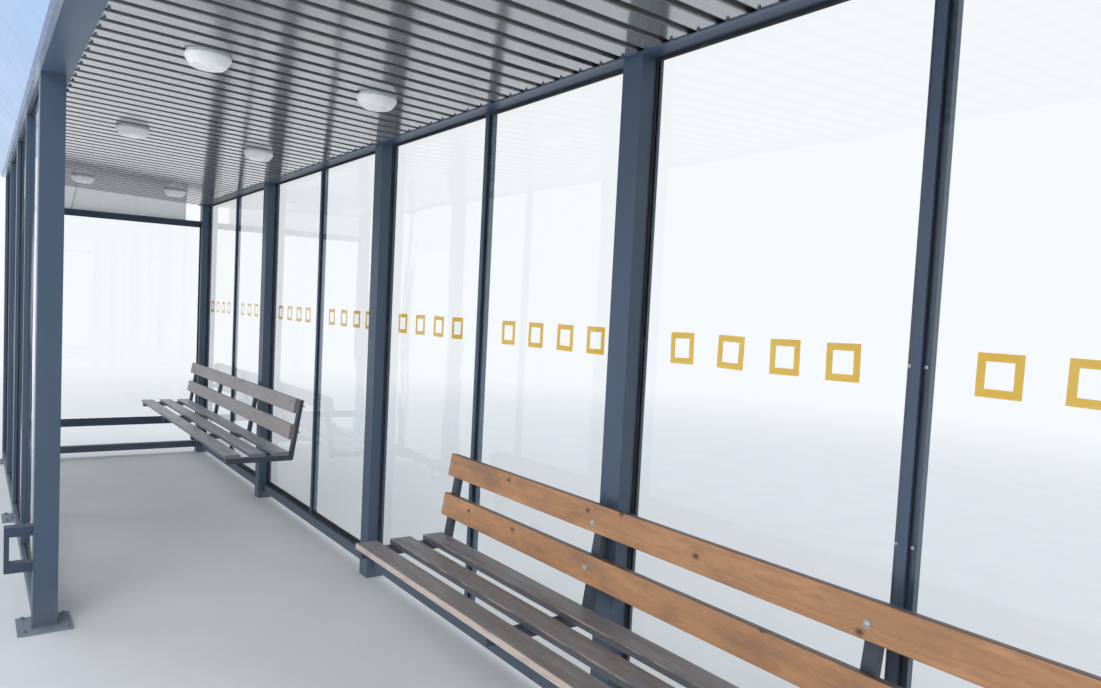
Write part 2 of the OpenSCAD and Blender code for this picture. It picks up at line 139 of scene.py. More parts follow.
class Shader:
    """One procedural material, built node by node."""

    def __init__(self, name):
        self.mat = bpy.data.materials.new(name)
        self.mat.use_nodes = True
        self.tree = self.mat.node_tree
        self.tree.nodes.clear()
        self.out = self.tree.nodes.new("ShaderNodeOutputMaterial")
        self.bsdf = self.tree.nodes.new("ShaderNodeBsdfPrincipled")
        self.link(self.bsdf.outputs[0], self.out.inputs["Surface"])
        self.where = self.tree.nodes.new("ShaderNodeTexCoord").outputs["Object"]

    def link(self, source, target):
        if isinstance(source, (int, float)):
            target.default_value = source
        elif isinstance(source, (tuple, list)):
            value = list(source)
            if len(value) == 3 and len(target.default_value) == 4:
                value.append(1.0)
            target.default_value = value
        else:
            self.tree.links.new(source, target)

    def set(self, **values):
        names = {"color": "Base Color", "rough": "Roughness", "metal": "Metallic", "ior": "IOR",
                 "coat": "Coat Weight", "coat_rough": "Coat Roughness", "glass": "Transmission Weight",
                 "normal": "Normal", "sss": "Subsurface Weight", "sss_radius": "Subsurface Radius",
                 "sss_scale": "Subsurface Scale"}
        for key, value in values.items():
            self.link(value, self.bsdf.inputs[names[key]])

    def attribute(self, name):
        node = self.tree.nodes.new("ShaderNodeAttribute")
        node.attribute_name = name
        return node.outputs["Vector"]

    def scaled(self, vector, scale, move=(0, 0, 0)):
        node = self.tree.nodes.new("ShaderNodeMapping")
        self.link(vector, node.inputs["Vector"])
        node.inputs["Scale"].default_value = scale
        node.inputs["Location"].default_value = move
        return node.outputs[0]

    def noise(self, vector, scale, detail=3.0, rough=0.5, distortion=0.0):
        node = self.tree.nodes.new("ShaderNodeTexNoise")
        self.link(vector, node.inputs["Vector"])
        node.inputs["Scale"].default_value = scale
        node.inputs["Detail"].default_value = detail
        node.inputs["Roughness"].default_value = rough
        node.inputs["Distortion"].default_value = distortion
        return node.outputs["Fac"]

    def cells(self, vector, scale, flat=False):
        node = self.tree.nodes.new("ShaderNodeTexVoronoi")
        if flat:
            node.voronoi_dimensions = "2D"
        self.link(vector, node.inputs["Vector"])
        node.inputs["Scale"].default_value = scale
        return node.outputs["Distance"], node.outputs["Color"]

    def math(self, operation, a, b=0.0, clamp=False):
        node = self.tree.nodes.new("ShaderNodeMath")
        node.operation = operation
        node.use_clamp = clamp
        self.link(a, node.inputs[0])
        self.link(b, node.inputs[1])
        return node.outputs[0]

    def span(self, value, low, high, to_low=0.0, to_high=1.0, smooth=False):
        node = self.tree.nodes.new("ShaderNodeMapRange")
        if smooth:
            node.interpolation_type = "SMOOTHSTEP"
        self.link(value, node.inputs["Value"])
        limits = {"From Min": low, "From Max": high, "To Min": to_low, "To Max": to_high}
        for key, number in limits.items():
            self.link(number, node.inputs[key])
        return node.outputs["Result"]

    def mix(self, factor, a, b, blend="MIX"):
        node = self.tree.nodes.new("ShaderNodeMix")
        node.data_type = "RGBA"
        node.blend_type = blend
        self.link(factor, node.inputs["Factor"])
        self.link(a, [s for s in node.inputs if s.name == "A" and s.type == "RGBA"][0])
        self.link(b, [s for s in node.inputs if s.name == "B" and s.type == "RGBA"][0])
        return [s for s in node.outputs if s.type == "RGBA"][0]

    def parts(self, vector):
        node = self.tree.nodes.new("ShaderNodeSeparateXYZ")
        self.link(vector, node.inputs[0])
        return node.outputs

    def face_normal(self):
        return self.parts(self.tree.nodes.new("ShaderNodeNewGeometry").outputs["Normal"])

    def bump(self, height, strength, distance=0.001, under=None):
        node = self.tree.nodes.new("ShaderNodeBump")
        self.link(height, node.inputs["Height"])
        node.inputs["Strength"].default_value = strength
        node.inputs["Distance"].default_value = distance
        if under is not None:
            self.link(under, node.inputs["Normal"])
        return node.outputs[0]

    def blend_into(self, factor, other):
        """Shows another shader in place of the principled one where the factor is 1."""
        mixer = self.tree.nodes.new("ShaderNodeMixShader")
        self.link(factor, mixer.inputs[0])
        self.link(self.bsdf.outputs[0], mixer.inputs[1])
        self.link(other.outputs[0], mixer.inputs[2])
        self.link(mixer.outputs[0], self.out.inputs["Surface"])


def painted_steel(name, base, worn, rough=0.34, dust=0.30):
    """Satin paint with an orange-peel skin, fine scuffs, and thin dust towards the floor."""
    s = Shader(name)
    broad = s.noise(s.where, 1.7, 3.0)
    fine = s.noise(s.where, 34.0, 3.0)
    scuff = s.noise(s.scaled(s.where, (38.0, 38.0, 5.0)), 3.0, 6.0, 0.7)
    color = s.mix(s.span(broad, 0.3, 0.7), scaled_color(base, 0.94), scaled_color(base, 1.07))
    color = s.mix(s.span(scuff, 0.69, 0.77, 0.0, 0.30), color, worn)
    low = s.span(s.parts(s.where)[2], 0.0, 0.26, 1.0, 0.0, smooth=True)
    dirt = s.math("MULTIPLY", low, s.span(fine, 0.30, 0.75, 0.55, 1.0))
    color = s.mix(s.math("MULTIPLY", dirt, dust), color, PAINT_DUST)
    s.set(color=color, rough=s.span(s.math("ADD", broad, dirt), 0.3, 1.5, rough, rough + 0.28))
    peel = s.noise(s.where, 420.0, 2.0)
    s.set(normal=s.bump(peel, 0.08, 0.0006, s.bump(broad, 0.06, 0.004)))
    return s.mat


def coated_sheet(name, base, rough, dusty, groove_shade=None):
    """Coil-coated profiled sheet: long gloss, faint oil-canning, dust or streaks along the ribs.

    A factor for the grooves' shade darkens what lies above the plane of the ceiling's flats, as painted
    shade with some grime, and a painted shade band darkens the bends along the grooves.
    """
    s = Shader(name)
    wave = s.noise(s.scaled(s.where, (5.0, 1.2, 1.0)), 1.0, 2.0)
    streak = s.noise(s.scaled(s.where, (52.0, 2.2, 1.0)), 1.0, 5.0, 0.6)
    grit = s.noise(s.where, 160.0, 3.0)
    color = s.mix(s.span(streak, 0.35, 0.7), base, scaled_color(base, 0.92))
    dust = s.span(s.math("MULTIPLY", streak, grit), 0.30, 0.5, 0.0, dusty)
    color = s.mix(dust, color, RIB_DUST)
    gloss = s.span(streak, 0.3, 0.75, rough, rough + 0.05)
    if groove_shade is not None:
        place = s.parts(s.where)
        height = s.math("ADD", place[2], s.math("MULTIPLY", place[1], CEILING_FALL))
        level = CEILING_BACK_Z + BACK_IN * CEILING_FALL
        # Above the plane of the flats the grooves darken: painted shade, with some grime
        inside = s.span(height, level + GROOVE_SHADE_START, level + GROOVE_SHADE_END)
        # Beside each of the grooves a band darkens the bends: painted shade of their rounded edges
        across = s.math("SUBTRACT", s.math("FRACT", s.math("MULTIPLY", place[0], 1.0 / RIB)), 0.5)
        from_groove = s.math("MULTIPLY", s.math("ABSOLUTE", across), RIB)
        bend_shade = s.span(from_groove, GROOVE_HALF, GROOVE_HALF + BEND_W, 0.75, 0.0, smooth=True)
        color = s.mix(bend_shade, color, scaled_color(base, 0.30))
        color = s.mix(inside, color, scaled_color(base, groove_shade))
        gloss = s.math("ADD", gloss, s.math("MULTIPLY", inside, 0.25))
    s.set(color=color, metal=0.70, rough=gloss)
    s.set(normal=s.bump(wave, 0.07, 0.004, s.bump(grit, 0.03, 0.0004)))
    return s.mat


def pane_glass(name):
    """Clear pane with a faint green cast and a slightly wavy film; lamp light passes through it."""
    s = Shader(name)
    wave = s.noise(s.scaled(s.where, (5.0, 5.0, 1.7)), 1.0, 2.0, 0.4, 0.8)
    film = s.noise(s.scaled(s.where, (1.1, 1.1, 0.55)), 1.0, 2.0)
    mask = s.span(film, 0.50, 0.62, smooth=True)
    s.set(color=PANE_TINT, glass=1.0, ior=1.30)
    s.set(rough=s.span(mask, 0.0, 1.0, 0.0, 0.015))
    s.set(normal=s.bump(s.math("MULTIPLY", wave, mask), 0.25, 0.004))
    clear = s.tree.nodes.new("ShaderNodeBsdfTransparent")
    clear.inputs["Color"].default_value = PANE_SHADOW
    path = s.tree.nodes.new("ShaderNodeLightPath")
    s.blend_into(path.outputs["Is Shadow Ray"], clear)
    return s.mat


FOLD_LINE = 0.016
# How far the fascia's faces look down: its leaning faces at most, the underside of its lip at least
LEANING_DOWN = -0.85
LIP_DOWN = -0.98


def composite_panel(name, base, gloss, under=None, metal=0.0, fold_shade=None, through=0.0):
    """Coated composite sheet, almost flat, with faint run-down dirt and a paler underside of painted light.

    A colour for the crease draws the score line above the foot as painted shade, and some light may pass
    through the sheet.
    """
    s = Shader(name)
    wave = s.noise(s.where, 1.1, 0.0)
    streak = s.noise(s.scaled(s.where, (9.0, 9.0, 0.9)), 1.0, 4.0, 0.55)
    cloud = s.noise(s.where, 0.9, 3.0)
    color = s.mix(s.span(cloud, 0.3, 0.7), scaled_color(base, 0.96), scaled_color(base, 1.04))
    color = s.mix(s.span(streak, 0.56, 0.8, 0.0, 0.14), color, PANEL_DIRT)
    if under is not None:
        # Faces that look down are paler: painted light from below
        color = s.mix(s.span(s.face_normal()[2], LEANING_DOWN, LIP_DOWN), color, under)
    if fold_shade is not None:
        # A dark line along the crease above the foot: painted shade of the bend
        low = s.math("LESS_THAN", s.parts(s.where)[2], FRONT_CLEAR + FOLD_LINE)
        leaning = s.math("GREATER_THAN", s.face_normal()[2], LEANING_DOWN)
        color = s.mix(s.math("MULTIPLY", low, leaning), color, fold_shade)
    s.set(color=color, rough=s.span(streak, 0.3, 0.8, gloss, gloss + 0.12), metal=metal)
    if through:
        s.set(sss=through, sss_radius=EVEN_SCATTER, sss_scale=0.03)
    s.set(normal=s.bump(wave, 0.03, 0.004))
    return s.mat


def opal_plastic(name, base):
    """Opal lamp plastic with fine mottling and a little dust."""
    s = Shader(name)
    mottle = s.noise(s.where, 34.0, 4.0)
    dust = s.noise(s.where, 230.0, 2.0)
    color = s.mix(s.span(mottle, 0.35, 0.7), base, scaled_color(base, 0.95))
    color = s.mix(s.span(dust, 0.62, 0.74, 0.0, 0.16), color, OPAL_DUST)
    s.set(color=color, rough=s.span(mottle, 0.3, 0.7, 0.22, 0.34), sss=0.2)
    s.set(normal=s.bump(dust, 0.05, 0.0004))
    return s.mat


def zinc(name, base=(0.62, 0.64, 0.66), rough=0.34):
    """Zinc plating with a fine spangle and dull spots."""
    s = Shader(name)
    spots = s.noise(s.where, 140.0, 4.0)
    grains, tone = s.cells(s.where, 260.0)
    color = s.mix(s.span(spots, 0.4, 0.7), base, scaled_color(base, 0.72))
    color = s.mix(0.10, color, tone, "OVERLAY")
    s.set(color=color, metal=0.85, rough=s.span(spots, 0.3, 0.7, rough, rough + 0.2))
    s.set(normal=s.bump(grains, 0.05, 0.0003))
    return s.mat


def rubber(name, dark=(0.016, 0.017, 0.020), chalky=(0.036, 0.038, 0.042)):
    """Rubber seal with a chalky bloom."""
    s = Shader(name)
    grain = s.noise(s.where, 300.0, 3.0)
    chalk = s.noise(s.where, 12.0, 4.0)
    s.set(color=s.mix(s.span(chalk, 0.45, 0.75), dark, chalky))
    s.set(rough=s.span(grain, 0.3, 0.7, 0.6, 0.85), normal=s.bump(grain, 0.2, 0.0003))
    return s.mat


def sticker_film(name):
    """Yellow vinyl film, sun-faded in patches."""
    s = Shader(name)
    fade = s.noise(s.where, 7.0, 4.0)
    speck = s.noise(s.where, 180.0, 2.0)
    color = s.mix(s.span(fade, 0.35, 0.7), FILM_DEEP, FILM_FADED)
    s.set(color=s.mix(s.span(speck, 0.64, 0.78, 0.0, 0.2), color, FILM_SPECK))
    s.set(rough=s.span(fade, 0.3, 0.7, 0.30, 0.45), normal=s.bump(speck, 0.05, 0.0002))
    s.set(sss=0.6, sss_radius=EVEN_SCATTER, sss_scale=0.004)
    return s.mat


FRONT_FACE_D = 0.003
ARRIS_W = 0.005
RINGS_PER_METRE = 190.0


def solid_wood(name, early, late, grey, top_grey, weather_all, lacquer, figure,
               edge=None, worn=None, stain=None):
    """Pine cut from solid wood: growth rings about a pith line, knots, fibre streaks and weathering.

    The boards carry a grain attribute whose first part runs along the board and whose other two
    parts give the place about the pith, so faces, edges and end grain belong to one piece of wood.
    An edge colour darkens the upright sides as painted shade, a worn colour bares the front face of the
    seat and its arrises as wear and a painted highlight, and a stain runs over the faces in clouds.
    """
    s = Shader(name)
    grain = s.attribute("grain")
    across, deep = s.parts(grain)[1:]
    drift = s.noise(s.scaled(grain, (1.3, 7.0, 7.0)), 1.0, 3.0, 0.5)
    ring_place = s.math("SQRT", s.math("ADD", s.math("MULTIPLY", across, across),
                                       s.math("MULTIPLY", deep, deep)))
    knot_far, knot_tone = s.cells(s.scaled(grain, (5.6, 8.5, 1.0)), 1.0, flat=True)
    knotty = s.math("GREATER_THAN", s.parts(knot_tone)[0], 0.66)
    knot_pull = s.math("MULTIPLY", knotty, s.span(knot_far, 0.04, 0.30, 1.0, 0.0, smooth=True))
    place = s.math("ADD", ring_place, s.math("MULTIPLY", drift, 0.020))
    place = s.math("ADD", place, s.math("MULTIPLY", knot_pull, 0.008))
    ring = s.math("FRACT", s.math("MULTIPLY", place, RINGS_PER_METRE))
    dark_ring = s.math("POWER", ring, 2.0)
    fibre = s.noise(s.scaled(grain, (5.0, 260.0, 260.0)), 1.0, 4.0, 0.65)
    patch = s.noise(s.scaled(grain, (0.8, 6.0, 6.0), (3.1, 0.0, 0.0)), 1.0, 3.0)
    color = s.mix(s.math("MULTIPLY", dark_ring, figure), early, late)
    color = s.mix(s.span(patch, 0.35, 0.75, 0.0, 0.30), color, scaled_color(late, 0.86))
    if stain is not None:
        cloud = s.noise(s.scaled(grain, (4.2, 13.0, 13.0), (7.0, 0.0, 0.0)), 1.0, 6.0, 0.66)
        color = s.mix(s.span(cloud, 0.50, 0.66, 0.0, 0.80), color, stain)
        color = s.mix(s.span(cloud, 0.46, 0.34, 0.0, 0.45), color, scaled_color(early, 1.30))
    color = s.mix(s.span(fibre, 0.52, 0.80, 0.0, 0.30), color, scaled_color(late, 0.66))
    core = s.math("MULTIPLY", knotty, s.span(knot_far, 0.035, 0.065, 1.0, 0.0, smooth=True))
    rim = s.math("MULTIPLY", knotty, s.span(knot_far, 0.05, 0.12, 0.60, 0.0, smooth=True))
    color = s.mix(rim, color, scaled_color(late, 0.55))
    color = s.mix(s.math("MULTIPLY", core, 0.9), color, KNOT_CORE)
    # Faces that look up turn grey, by weathering, and on the seats also as a painted reflection of the sky;
    # grey runs unevenly into the others
    normal = s.face_normal()
    up = s.span(normal[2], 0.35, 0.85)
    blotch = s.noise(s.scaled(grain, (2.2, 16.0, 16.0)), 1.0, 5.0, 0.6)
    greyed = s.math("ADD", s.math("MULTIPLY", up, top_grey),
                  s.math("MULTIPLY", s.span(blotch, 0.40, 0.68), weather_all), clamp=True)
    dull = s.mix(s.span(fibre, 0.35, 0.7), scaled_color(grey, 1.06), scaled_color(grey, 0.80))
    dull = s.mix(s.math("MULTIPLY", dark_ring, 0.25), dull, scaled_color(grey, 0.62))
    bleach = s.noise(s.scaled(grain, (2.6, 24.0, 24.0), (11.0, 0.0, 0.0)), 1.0, 6.0, 0.68)
    dull = s.mix(s.span(bleach, 0.50, 0.66, 0.0, 0.60), dull, scaled_color(late, 0.50))
    dull = s.mix(s.span(bleach, 0.46, 0.34, 0.0, 0.55), dull, scaled_color(grey, 1.35))
    dull = s.mix(s.math("MULTIPLY", rim, 0.6), dull, scaled_color(grey, 0.42))
    color = s.mix(greyed, color, dull)
    # The upright sides of the boards are darkened: painted shade
    if edge is not None:
        side = s.span(s.math("ABSOLUTE", normal[1]), 0.55, 0.80)
        color = s.mix(side, color, s.mix(s.span(fibre, 0.35, 0.7), edge, scaled_color(edge, 0.8)))
    # The seat's front face and arrises go pale: wear, and a painted highlight where they catch the light
    if worn is not None:
        spot = s.parts(s.where)
        pale = s.mix(s.span(fibre, 0.35, 0.75), worn, scaled_color(worn, 0.80))
        ragged = s.noise(s.scaled(grain, (9.0, 60.0, 60.0), (0.0, 2.0, 0.0)), 1.0, 4.0, 0.6)
        front_face = s.math("LESS_THAN", spot[1], SEAT_FRONT + FRONT_FACE_D)
        bared_and_lit = s.span(ragged, 0.30, 0.50, 0.60, 1.0)
        color = s.mix(s.math("MULTIPLY", front_face, bared_and_lit), color, pale)
        from_arris = s.math("MODULO", s.math("SUBTRACT", spot[1], SEAT_FRONT), SEAT_STEP)
        arris = s.math("MULTIPLY", s.math("LESS_THAN", from_arris, ARRIS_W),
                       s.math("GREATER_THAN", spot[2], SEAT_TOP - ARRIS_W))
        color = s.mix(s.math("MULTIPLY", arris, s.span(ragged, 0.45, 0.60, 0.0, 0.50)), color, pale)
    # End grain turns dark grey: weathering, and painted shade on the board ends
    ends = s.span(s.math("ABSOLUTE", normal[0]), 0.60, 0.90, 0.0, 0.75)
    color = s.mix(ends, color, scaled_color(grey, 0.30))
    # Drying checks open along the fibre
    check = s.noise(s.scaled(grain, (4.5, 150.0, 150.0), (0.0, 5.0, 0.0)), 1.0, 2.0, 0.4)
    split = s.span(check, 0.735, 0.765)
    color = s.mix(s.math("MULTIPLY", split, 0.7), color, OPEN_CHECK)
    s.set(color=color, rough=s.span(greyed, 0.0, 1.0, lacquer, min(0.62, lacquer + 0.12)))
    s.set(coat=0.08, coat_rough=0.3)
    relief = s.math("ADD", s.math("MULTIPLY", dark_ring, 0.5), s.math("MULTIPLY", fibre, 0.6))
    relief = s.math("SUBTRACT", relief, s.math("MULTIPLY", split, 2.0))
    s.set(normal=s.bump(relief, 0.30, 0.0008))
    return s.mat


STEEL = painted_steel("frame_steel", (0.064, 0.099, 0.156), worn=(0.16, 0.19, 0.22))
# A darker copy of the frame paint: painted shade for the end rails, sill ends, bin bracket and back beam
SHADED_STEEL = painted_steel("end_steel", (0.040, 0.062, 0.105), worn=(0.15, 0.17, 0.19), rough=0.38)
PLATE_STEEL = painted_steel("plate_steel", (0.190, 0.245, 0.330), worn=(0.28, 0.33, 0.38),
                            rough=0.45, dust=0.60)
BENCH_STEEL = painted_steel("bench_steel", (0.052, 0.066, 0.090), worn=(0.17, 0.17, 0.17), rough=0.42)
CEILING = coated_sheet("ceiling_coating", (0.50, 0.495, 0.50), rough=0.11, dusty=0.05, groove_shade=0.15)
ROOF = coated_sheet("roof_coating", (0.23, 0.24, 0.25), rough=0.34, dusty=0.55)
GLASS = pane_glass("clear_pane")
# The fascia's paler underside is painted light from below
PANEL = composite_panel("fascia_panel", (0.28, 0.47, 0.77), gloss=0.20, under=(0.55, 0.64, 0.74),
                        metal=0.6, fold_shade=(0.05, 0.12, 0.30))
END_PANEL = composite_panel("end_panel", (0.90, 0.955, 0.99), gloss=0.28, through=0.5)
LAMP_SHELL = opal_plastic("lamp_shell", (0.98, 0.98, 0.97))
LAMP_BASE = opal_plastic("lamp_base", (0.76, 0.76, 0.74))
ZINC = zinc("zinc_plate")
ZINC_DULL = zinc("zinc_dull", (0.36, 0.36, 0.36), rough=0.5)
RUBBER = rubber("seal_rubber")
GREY_RUBBER = rubber("seal_grey", dark=(0.36, 0.39, 0.42), chalky=(0.44, 0.47, 0.50))
YELLOW = sticker_film("yellow_film")
BACK_WOOD = solid_wood("pine_orange", early=(0.530, 0.275, 0.130), late=(0.365, 0.168, 0.072),
                       grey=(0.095, 0.095, 0.105), top_grey=0.92, weather_all=0.05,
                       lacquer=0.42, figure=0.55, stain=(0.29, 0.160, 0.098))
# The grey of the seats' tops is weathering and a painted reflection of the sky, bluish on the left seat
SEAT_WOOD = solid_wood("pine_seat", early=(0.40, 0.27, 0.19), late=(0.28, 0.175, 0.12),
                       grey=(0.240, 0.230, 0.235), top_grey=0.92, weather_all=0.40,
                       lacquer=0.38, figure=0.45, edge=(0.10, 0.10, 0.115), worn=(0.60, 0.50, 0.43))
SEAT_GREY = solid_wood("pine_seat_grey", early=(0.40, 0.36, 0.34), late=(0.30, 0.26, 0.24),
                       grey=(0.430, 0.445, 0.500), top_grey=0.96, weather_all=0.70,
                       lacquer=0.30, figure=0.40, edge=(0.18, 0.19, 0.22))
GREY_WOOD = solid_wood("pine_grey", early=(0.46, 0.42, 0.41), late=(0.36, 0.32, 0.31),
                       grey=(0.450, 0.420, 0.430), top_grey=0.60, weather_all=0.90,
                       lacquer=0.50, figure=0.35)


def dress(material, *names):
    for name in names:
        mesh = nodes[name].data
        mesh.materials.clear()
        mesh.materials.append(material)


dress(STEEL, *[n for n in nodes if n.startswith(("post_", "beam_", "mullions_", "sill_", "end_rails_"))])
dress(STEEL, "rafters", "ceiling_ledges")
# These parts wear the frame paint darkened as painted shade
dress(SHADED_STEEL, "end_rails_left", "end_rails_right", "sill_ends", "bin_bracket", "beam_back")
dress(PLATE_STEEL, "base_plates")
dress(BENCH_STEEL, "bench_left_frames", "bench_right_frames")
dress(GLASS, *[n for n in nodes if n.startswith("glass_")])
dress(CEILING, "ceiling_sheet")
dress(ROOF, "roof_sheet")
dress(PANEL, "fascia_front")
dress(END_PANEL, "fascia_end_left", "fascia_end_right")
dress(ZINC_DULL, "fascia_brackets")
dress(LAMP_BASE, "lamp_bases")


# Mesh helpers

MERGE_DISTANCE = 1e-6
POINT_RADIUS = 1e-7
MOST_EASE = 0.4
BOARD_SMOOTH = 40
BOLT_SMOOTH = 35
LAMP_SMOOTH = 50


def finish_piece(name, bm, material, replaces=(), smooth_angle=None):
    """Turns a bmesh into a piece that rides on the shelter."""
    bmesh.ops.remove_doubles(bm, verts=bm.verts, dist=MERGE_DISTANCE)
    bmesh.ops.recalc_face_normals(bm, faces=bm.faces)
    mesh = bpy.data.meshes.new(name)
    bm.to_mesh(mesh)
    bm.free()
    mesh.materials.append(material)
    obj = bpy.data.objects.new(name, mesh)
    bpy.context.scene.collection.objects.link(obj)
    if smooth_angle is not None:
        mesh.shade_smooth()
        mesh.set_sharp_from_angle(angle=math.radians(smooth_angle))
        obj.modifiers.new("weighted", "WEIGHTED_NORMAL").keep_sharp = True
    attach(obj, "root")
    if replaces:
        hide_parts(*replaces)


def axes_for(direction):
    z = Vector(direction).normalized()
    x = Vector((1, 0, 0)) if abs(z.x) < 0.9 else Vector((0, 1, 0))
    x = (x - z * x.dot(z)).normalized()
    return x, z.cross(x), z


def bridge(bm, low, high):
    """Joins two rings of points with a band of faces."""
    count = len(low)
    for i in range(count):
        j = (i + 1) % count
        bm.faces.new((low[i], low[j], high[j], high[i]))


def lathe(bm, centre, direction, profile, segments=16, turn=0.0):
    """Revolves (radius, height) points about a line, closed at both ends where the radius is 0."""
    ax, ay, az = axes_for(direction)
    centre = Vector(centre)
    rings = []
    for radius, height in profile:
        if radius < POINT_RADIUS:
            rings.append([bm.verts.new(centre + az * height)])
            continue
        ring = []
        for i in range(segments):
            a = turn + 2 * math.pi * i / segments
            spoke = ax * math.cos(a) + ay * math.sin(a)
            ring.append(bm.verts.new(centre + az * height + spoke * radius))
        rings.append(ring)
    for low, high in zip(rings, rings[1:]):
        if len(low) == len(high):
            bridge(bm, low, high)
            continue
        for i in range(segments):
            j = (i + 1) % segments
            if len(low) == 1:
                bm.faces.new((low[0], high[i], high[j]))
            else:
                bm.faces.new((low[i], low[j], high[0]))


def sweep(bm, section, start, end, ex, ey):
    """Runs a closed section, given as (a, b) pairs along ex and ey, straight from start to end."""
    start, end, ex, ey = Vector(start), Vector(end), Vector(ex), Vector(ey)
    first, last = [[bm.verts.new(p + ex * a + ey * b) for a, b in section] for p in (start, end)]
    bridge(bm, first, last)
    bm.faces.new(list(reversed(first)))
    bm.faces.new(last)


def round_rect(width, height, radius, steps=3):
    """Rounded rectangle about its centre, as (a, b) pairs."""
    points = []
    for cx, cy, first in ((1, 1, 0), (-1, 1, 1), (-1, -1, 2), (1, -1, 3)):
        for i in range(steps + 1):
            a = math.pi / 2 * (first + i / steps)
            points.append((cx * (width / 2 - radius) + radius * math.cos(a),
                           cy * (height / 2 - radius) + radius * math.sin(a)))
    return points


def strip(bm, low, high, radius=0.0008):
    """A straight strip with eased edges along its longest side, from its two opposite corners."""
    low, high = Vector(low), Vector(high)
    for i in range(3):
        if low[i] > high[i]:
            low[i], high[i] = high[i], low[i]
    size = high - low
    run = max(range(3), key=lambda i: size[i])
    a, b = [i for i in range(3) if i != run]
    start, end = (low + high) / 2, (low + high) / 2
    start[run], end[run] = low[run], high[run]
    ex, ey = Vector((0, 0, 0)), Vector((0, 0, 0))
    ex[a], ey[b] = 1, 1
    edge = min(radius, size[a] * MOST_EASE, size[b] * MOST_EASE)
    sweep(bm, round_rect(size[a], size[b], edge, steps=2), start, end, ex, ey)


BOARD_PARTS = 14
BOARD_END = 0.0015
BOARD_END_SHRINK = 0.965
BOARD_BOW = 0.0012
PITH_SIDE = 0.03
PITH_DEPTH = (0.05, 0.10)
PITH_DRIFT = (0.010, 0.014)
GRAIN_RUN = 40.0


def board(bm, start, length, ey, ez, width, thick, seed, radius=0.004):
    """A planed board along X with eased edges, a slight bow and solid grain coordinates."""
    rng = random.Random(seed)
    grain = bm.verts.layers.float_vector.get("grain") or bm.verts.layers.float_vector.new("grain")
    start, ey, ez = Vector(start), Vector(ey), Vector(ez)
    pith = (rng.uniform(-PITH_SIDE, PITH_SIDE), rng.uniform(*PITH_DEPTH) * rng.choice((-1, 1)))
    tilt = [rng.uniform(-drift, drift) for drift in PITH_DRIFT]
    shift = rng.uniform(0.0, GRAIN_RUN)
    bow = rng.uniform(-BOARD_BOW, BOARD_BOW)
    section = round_rect(width, thick, radius)
    inner = [length * i / BOARD_PARTS for i in range(1, BOARD_PARTS)]
    stations = [0.0, BOARD_END] + inner + [length - BOARD_END, length]
    rings = []
    for n, x in enumerate(stations):
        shrink = BOARD_END_SHRINK if n in (0, len(stations) - 1) else 1.0
        lift = bow * math.sin(math.pi * x / length)
        ring = []
        for a, b in section:
            v = bm.verts.new(start + Vector((x, 0, 0)) + ey * (a * shrink) + ez * (b * shrink + lift))
            v[grain] = (x + shift, a - pith[0] - tilt[0] * x, b - pith[1] - tilt[1] * x)
            ring.append(v)
        rings.append(ring)
    for low, high in zip(rings, rings[1:]):
        bridge(bm, low, high)
    bm.faces.new(list(reversed(rings[0])))
    bm.faces.new(rings[-1])


FLANGE_T = 0.0012
FLANGE_STEP = 0.0002
FLANGE_REACH = 1.30
# Shares of a dome's radius and height along its curve
DOME_CURVE = ((0.97, 0.55), (0.78, 0.85), (0.42, 1.02), (0.0, 1.08))
WASHER_T = 0.0018
WASHER_TAPER = 0.94
NUT_CHAMFER = 0.86
STUD_TAPER = 0.7
STUD_SUNK = 0.001
STUD_CHAMFER = 0.0015
ROUND_SEGMENTS = 20
STUD_SEGMENTS = 12
HEXAGON = 6
SCREW_HEAD_R = 0.0052
SCREW_HEAD_H = 0.0055
SCREW_CHAMFER = 0.0010


def dome_bolt(bm, centre, direction, radius=0.0085, height=0.0045):
    """Low domed head on a thin flange."""
    flange = radius * FLANGE_REACH
    profile = [(0, 0), (flange, 0), (flange, FLANGE_T), (radius, FLANGE_T + FLANGE_STEP)]
    profile += [(radius * out, height * up) for out, up in DOME_CURVE]
    lathe(bm, centre, direction, profile, ROUND_SEGMENTS)


def hex_nut(bm, centre, direction, across=0.013, height=0.008, washer=0.012, stud=0.004,
            tip=0.012, turn=0.0):
    """Washer, hexagon nut and the stud's end, on a face."""
    corner = across / math.sqrt(3)
    way = Vector(direction).normalized()
    start = Vector(centre) + way * WASHER_T
    lathe(bm, centre, direction, [(0, 0), (washer, 0), (washer, WASHER_T), (0, WASHER_T)], ROUND_SEGMENTS)
    lathe(bm, start, direction,
          [(0, 0), (corner, 0), (corner, height * NUT_CHAMFER), (corner * NUT_CHAMFER, height), (0, height)],
          HEXAGON, turn)
    lathe(bm, start + way * height, direction,
          [(stud, -STUD_SUNK), (stud, tip - STUD_CHAMFER), (stud * STUD_TAPER, tip), (0, tip)],
          STUD_SEGMENTS)


def sheet_screw(bm, centre, direction, washer=0.009, thick=0.0015, turn=0.0):
    """Self-drilling screw: sealing washer and a low hexagon head."""
    lathe(bm, centre, direction, [(0, 0), (washer, 0), (washer * WASHER_TAPER, thick), (0, thick)])
    lathe(bm, Vector(centre) + Vector(direction).normalized() * thick, direction,
          [(0, 0), (SCREW_HEAD_R, 0), (SCREW_HEAD_R, SCREW_HEAD_H - SCREW_CHAMFER),
           (SCREW_HEAD_R - SCREW_CHAMFER, SCREW_HEAD_H), (0, SCREW_HEAD_H)], HEXAGON, turn)


# Benches: the frames are counted from the free end of each bench

LEFT_FRAMES = [line_x(0) + POST_HALF + TUBE_W / 2, line_x(1), line_x(2), line_x(3) - FREE_END_SHIFT]
RIGHT_FRAMES = [-x for x in reversed(LEFT_FRAMES)]
# How far up the lower and the upper slat the bolts of each frame sit
BOLT_UP = ((0.050, 0.050), (0.050, 0.030), (0.050, 0.040), (0.050, 0.040))
BACK_SEED = 7


